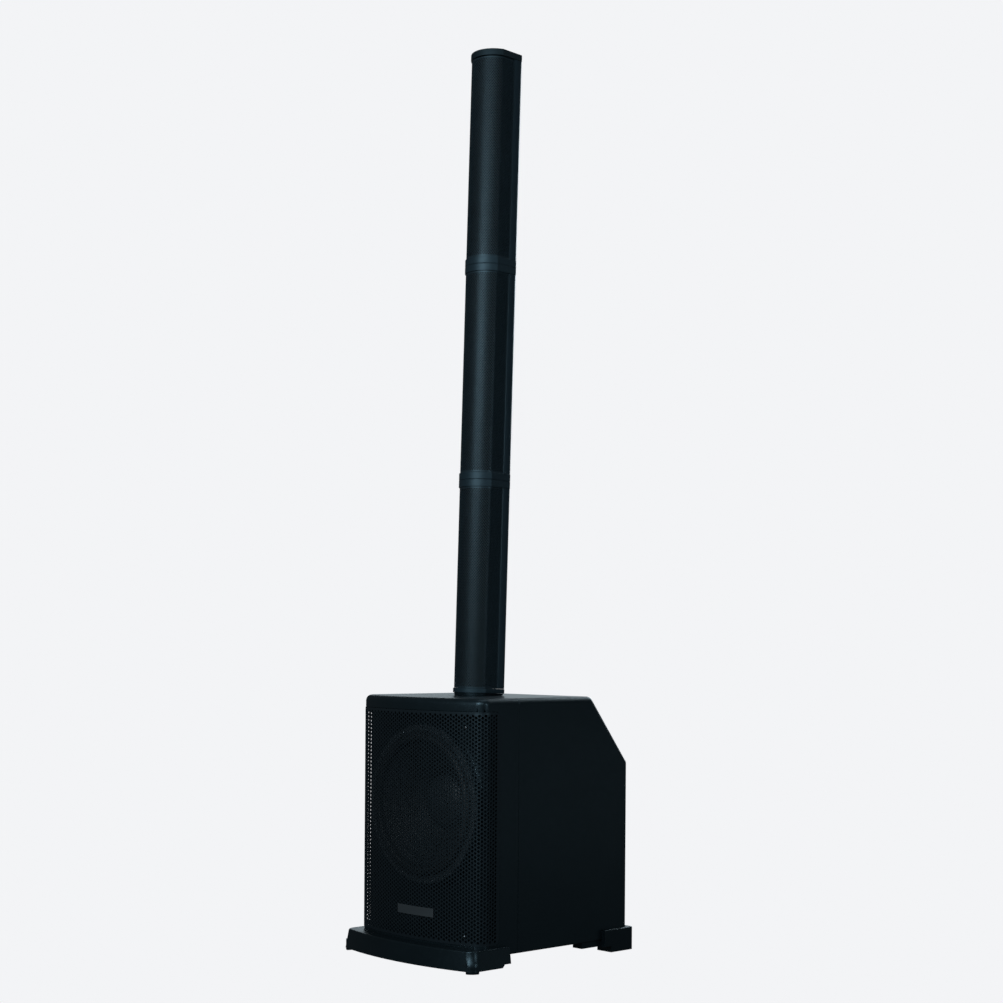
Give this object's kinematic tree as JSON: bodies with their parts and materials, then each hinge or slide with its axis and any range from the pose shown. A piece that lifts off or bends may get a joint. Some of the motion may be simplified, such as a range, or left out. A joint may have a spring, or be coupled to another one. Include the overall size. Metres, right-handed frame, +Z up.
{
  "type": "column pa system",
  "caption": "Free-standing bass cabinet with a bowed wrap-round grille and a raked column of lift-off loudspeaker sections; rear control panel with turning knobs and a rocker power switch.",
  "frame": {"origin": "on the floor, under the middle of the object's box", "axes": "+Z up, the grille faces -Y, the rear panel faces +Y, +X to the viewer's right when facing the grille"},
  "size_m": [0.388, 0.474, 1.8074],
  "materials": {
    "moulding": "satin black moulded plastic with a fine texture",
    "collar": "satin dark grey moulded plastic",
    "steel_sheet": "satin black powder coat on perforated steel",
    "cone_paper": "matt black treated paper",
    "rubber": "matt black rubber",
    "frame_steel": "semi-matt black paint",
    "ferrite": "dull dark grey",
    "panel_paint": "fine matt black paint",
    "knob_plastic": "satin black plastic",
    "heatsink_metal": "black anodised",
    "board": "green circuit board",
    "badge_metal": "plain brushed metal, no lettering"
  },
  "bodies": {
    "cabinet": {"front_shell": "moulding", "rear_shell": "moulding", "sub_grille": "steel_sheet", "badge": "badge_metal", "front_plinth": "moulding", "rear_foot_left": "moulding", "rear_foot_right": "moulding", "woofer_frame": "frame_steel", "woofer_surround": "rubber", "woofer_magnet": "ferrite", "column_socket": "moulding", "control_panel": "panel_paint", "amp_plate": "panel_paint", "heatsink": "heatsink_metal", "amp_board": "board", "combo_jack_1": "knob_plastic", "combo_jack_2": "knob_plastic", "link_jack": "knob_plastic", "power_inlet": "knob_plastic", "port_tube": "moulding"},
    "woofer_cone": {"woofer_cone": "cone_paper"},
    "lower_section": {"lower_housing": "moulding", "lower_grille": "steel_sheet", "lower_bottom_collar": "collar", "lower_top_collar": "collar", "lower_driver_board": "frame_steel"},
    "lower_cone_1": {"lower_cone_1": "cone_paper"},
    "lower_cone_2": {"lower_cone_2": "cone_paper"},
    "lower_cone_3": {"lower_cone_3": "cone_paper"},
    "lower_cone_4": {"lower_cone_4": "cone_paper"},
    "middle_section": {"middle_housing": "moulding", "middle_grille": "steel_sheet", "middle_bottom_collar": "collar", "middle_top_collar": "collar", "middle_driver_board": "frame_steel"},
    "middle_cone_1": {"middle_cone_1": "cone_paper"},
    "middle_cone_2": {"middle_cone_2": "cone_paper"},
    "middle_cone_3": {"middle_cone_3": "cone_paper"},
    "middle_cone_4": {"middle_cone_4": "cone_paper"},
    "upper_section": {"upper_housing": "moulding", "upper_grille": "steel_sheet", "upper_bottom_collar": "collar", "upper_top_cap": "collar", "upper_driver_board": "frame_steel"},
    "upper_cone_1": {"upper_cone_1": "cone_paper"},
    "upper_cone_2": {"upper_cone_2": "cone_paper"},
    "upper_cone_3": {"upper_cone_3": "cone_paper"},
    "upper_cone_4": {"upper_cone_4": "cone_paper"},
    "mic_1_knob": {"mic_1_knob": "knob_plastic"},
    "mic_2_knob": {"mic_2_knob": "knob_plastic"},
    "line_knob": {"line_knob": "knob_plastic"},
    "bass_knob": {"bass_knob": "knob_plastic"},
    "master_knob": {"master_knob": "knob_plastic"},
    "pair_button": {"pair_button": "knob_plastic"},
    "power_switch": {"power_switch": "knob_plastic"}
  },
  "joints": [
    {"name": "woofer_cone_slide", "type": "slide", "parent": "cabinet", "child": "woofer_cone", "axis": [0, -1, 0], "range_m": [-0.006, 0.006], "stiffness_N_per_m": 2500},
    {"name": "lower_section_lift", "type": "slide", "parent": "cabinet", "child": "lower_section", "axis": [0, 0.0288, 0.9996], "range_m": [0, 0.045]},
    {"name": "lower_cone_1_slide", "type": "slide", "parent": "lower_section", "child": "lower_cone_1", "axis": [0, -0.9996, 0.0288], "range_m": [-0.0015, 0.0015], "stiffness_N_per_m": 1200},
    {"name": "lower_cone_2_slide", "type": "slide", "parent": "lower_section", "child": "lower_cone_2", "axis": [0, -0.9996, 0.0288], "range_m": [-0.0015, 0.0015], "stiffness_N_per_m": 1200},
    {"name": "lower_cone_3_slide", "type": "slide", "parent": "lower_section", "child": "lower_cone_3", "axis": [0, -0.9996, 0.0288], "range_m": [-0.0015, 0.0015], "stiffness_N_per_m": 1200},
    {"name": "lower_cone_4_slide", "type": "slide", "parent": "lower_section", "child": "lower_cone_4", "axis": [0, -0.9996, 0.0288], "range_m": [-0.0015, 0.0015], "stiffness_N_per_m": 1200},
    {"name": "middle_section_lift", "type": "slide", "parent": "lower_section", "child": "middle_section", "axis": [0, 0.0288, 0.9996], "range_m": [0, 0.045]},
    {"name": "middle_cone_1_slide", "type": "slide", "parent": "middle_section", "child": "middle_cone_1", "axis": [0, -0.9996, 0.0288], "range_m": [-0.0015, 0.0015], "stiffness_N_per_m": 1200},
    {"name": "middle_cone_2_slide", "type": "slide", "parent": "middle_section", "child": "middle_cone_2", "axis": [0, -0.9996, 0.0288], "range_m": [-0.0015, 0.0015], "stiffness_N_per_m": 1200},
    {"name": "middle_cone_3_slide", "type": "slide", "parent": "middle_section", "child": "middle_cone_3", "axis": [0, -0.9996, 0.0288], "range_m": [-0.0015, 0.0015], "stiffness_N_per_m": 1200},
    {"name": "middle_cone_4_slide", "type": "slide", "parent": "middle_section", "child": "middle_cone_4", "axis": [0, -0.9996, 0.0288], "range_m": [-0.0015, 0.0015], "stiffness_N_per_m": 1200},
    {"name": "upper_section_lift", "type": "slide", "parent": "middle_section", "child": "upper_section", "axis": [0, 0.0288, 0.9996], "range_m": [0, 0.045]},
    {"name": "upper_cone_1_slide", "type": "slide", "parent": "upper_section", "child": "upper_cone_1", "axis": [0, -0.9996, 0.0288], "range_m": [-0.0015, 0.0015], "stiffness_N_per_m": 1200},
    {"name": "upper_cone_2_slide", "type": "slide", "parent": "upper_section", "child": "upper_cone_2", "axis": [0, -0.9996, 0.0288], "range_m": [-0.0015, 0.0015], "stiffness_N_per_m": 1200},
    {"name": "upper_cone_3_slide", "type": "slide", "parent": "upper_section", "child": "upper_cone_3", "axis": [0, -0.9996, 0.0288], "range_m": [-0.0015, 0.0015], "stiffness_N_per_m": 1200},
    {"name": "upper_cone_4_slide", "type": "slide", "parent": "upper_section", "child": "upper_cone_4", "axis": [0, -0.9996, 0.0288], "range_m": [-0.0015, 0.0015], "stiffness_N_per_m": 1200},
    {"name": "mic_1_knob_turn", "type": "hinge", "parent": "cabinet", "child": "mic_1_knob", "pos_m": [-0.096, 0.18891, 0.43146], "axis": [0, 0.7837, 0.6211], "range_deg": [-140, 140]},
    {"name": "mic_2_knob_turn", "type": "hinge", "parent": "cabinet", "child": "mic_2_knob", "pos_m": [-0.048, 0.18891, 0.43146], "axis": [0, 0.7837, 0.6211], "range_deg": [-140, 140]},
    {"name": "line_knob_turn", "type": "hinge", "parent": "cabinet", "child": "line_knob", "pos_m": [0, 0.18891, 0.43146], "axis": [0, 0.7837, 0.6211], "range_deg": [-140, 140]},
    {"name": "bass_knob_turn", "type": "hinge", "parent": "cabinet", "child": "bass_knob", "pos_m": [0.048, 0.18891, 0.43146], "axis": [0, 0.7837, 0.6211], "range_deg": [-140, 140]},
    {"name": "master_knob_turn", "type": "hinge", "parent": "cabinet", "child": "master_knob", "pos_m": [0.096, 0.18891, 0.43146], "axis": [0, 0.7837, 0.6211], "range_deg": [-140, 140]},
    {"name": "pair_button_press", "type": "slide", "parent": "cabinet", "child": "pair_button", "axis": [0, -0.7837, -0.6211], "range_m": [0, 0.0015], "stiffness_N_per_m": 350},
    {"name": "power_switch_rock", "type": "hinge", "parent": "cabinet", "child": "power_switch", "pos_m": [0.098, 0.224, 0.208], "axis": [1, 0, 0], "range_deg": [-14, 0]}
  ]
}
